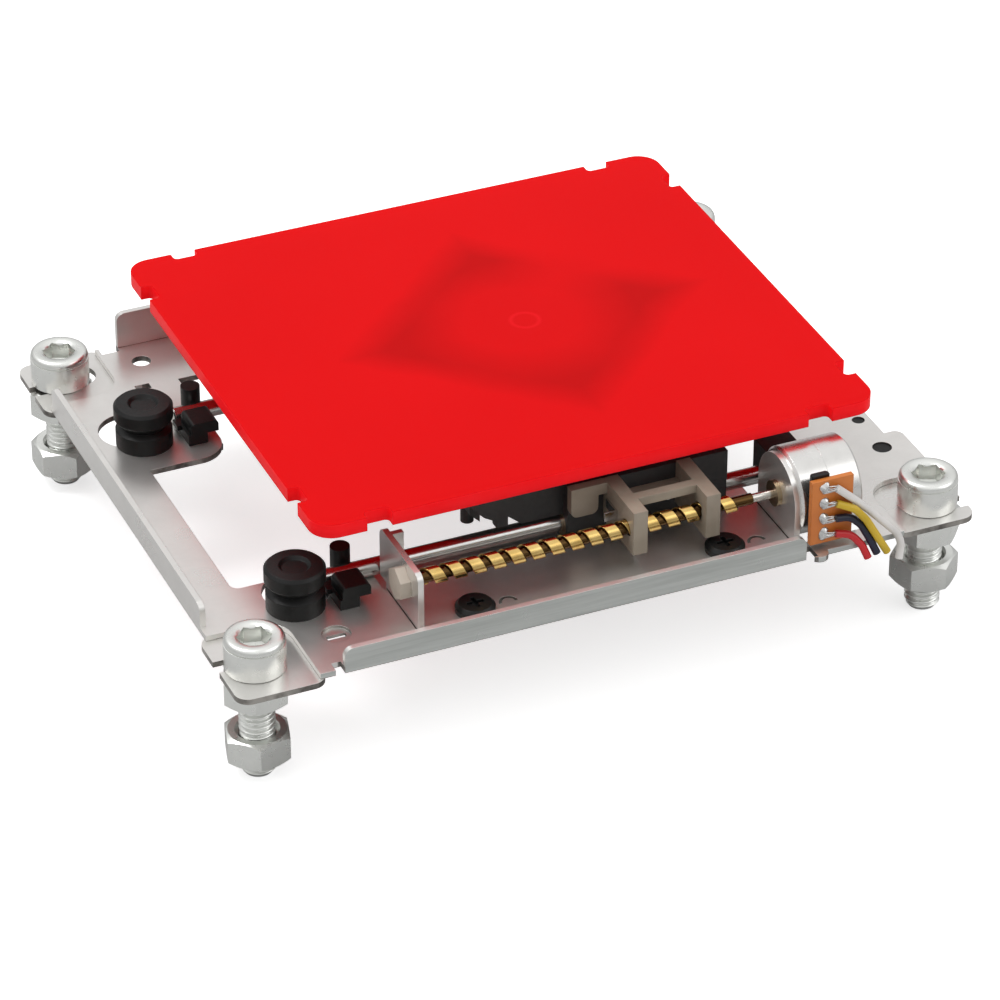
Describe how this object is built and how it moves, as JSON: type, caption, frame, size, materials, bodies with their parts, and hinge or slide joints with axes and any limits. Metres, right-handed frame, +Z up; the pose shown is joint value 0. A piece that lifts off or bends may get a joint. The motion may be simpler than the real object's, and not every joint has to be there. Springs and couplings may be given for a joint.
{
  "type": "linear stage",
  "caption": "Small stepper-driven linear stage: flat notched table on a carriage that runs along guide rods on a stamped deck with bolt legs",
  "frame": {"origin": "On the ground, at the centre of the four legs' lower ends", "axes": "+X along the lead screw towards the motor, +Y to the back, +Z up through the table"},
  "size_m": [0.13, 0.1098, 0.038],
  "materials": {
    "plated_sheet": "bright zinc plate",
    "bright_steel": "ground and polished",
    "plated_bolt": "zinc plated, semi-bright",
    "black_steel": "black oxide",
    "white_nylon": "moulded",
    "black_plastic": "moulded, satin",
    "black_rubber": "moulded, satin",
    "motor_case": "tinned, satin",
    "copper_winding": "enamelled wire",
    "bronze": "sintered",
    "brass": "rolled, bright",
    "ferrite": "sintered, matt",
    "orange_board": "laminate",
    "solder": "soft solder",
    "grey_casting": "glass-filled, matt",
    "beige_plastic": "acetal",
    "spring_steel": "bright strip",
    "red_acrylic": "clear red sheet, polished",
    "white_lead": "insulated wire",
    "yellow_lead": "insulated wire",
    "blue_lead": "insulated wire",
    "red_lead": "insulated wire"
  },
  "bodies": {
    "frame": {"chassis": "plated_sheet", "screw_bracket": "plated_sheet", "bracket_screws": "black_steel", "end_bush": "white_nylon", "front_rod": "bright_steel", "rear_rod": "bright_steel", "rod_clip_front_left": "black_plastic", "rod_clip_rear_left": "black_plastic", "rod_clip_rear_right": "black_plastic", "rod_holder_front_right": "black_plastic", "front_grommet": "black_rubber", "rear_grommet": "black_rubber", "deck_plugs": "black_plastic", "leg_bolts": "plated_bolt", "upper_nuts": "plated_bolt", "lower_nuts": "plated_bolt", "motor_front_cup": "motor_case", "motor_rear_cup": "motor_case", "motor_front_coil": "copper_winding", "motor_rear_coil": "copper_winding", "motor_front_bearing": "bronze", "motor_rear_bearing": "bronze", "terminal_block": "black_plastic", "motor_board": "orange_board", "solder_joints": "solder", "lead_white": "white_lead", "lead_yellow": "yellow_lead", "lead_blue": "blue_lead", "lead_red": "red_lead"},
    "lead_screw": {"lead_screw": "brass", "rotor_magnet": "ferrite"},
    "carriage": {"carriage_casting": "grey_casting", "sleeve_bushes": "bronze", "rear_shoe": "black_plastic", "drive_nut": "beige_plastic", "nut_screws": "plated_bolt", "nut_spring": "spring_steel", "table_riser": "grey_casting", "riser_screws": "black_steel", "table_plate": "red_acrylic"}
  },
  "joints": [
    {"name": "carriage_slide", "type": "slide", "parent": "frame", "child": "carriage", "axis": [1, 0, 0], "range_m": [-0.019, 0.006]},
    {"name": "screw_turn", "type": "hinge", "parent": "frame", "child": "lead_screw", "pos_m": [0, -0.0436, 0.027], "axis": [1, 0, 0], "range_deg": [-670, 2030]}
  ],
  "couplings": [
    {"joint": "screw_turn", "follows": "carriage_slide", "rad_per_m": -1848}
  ]
}
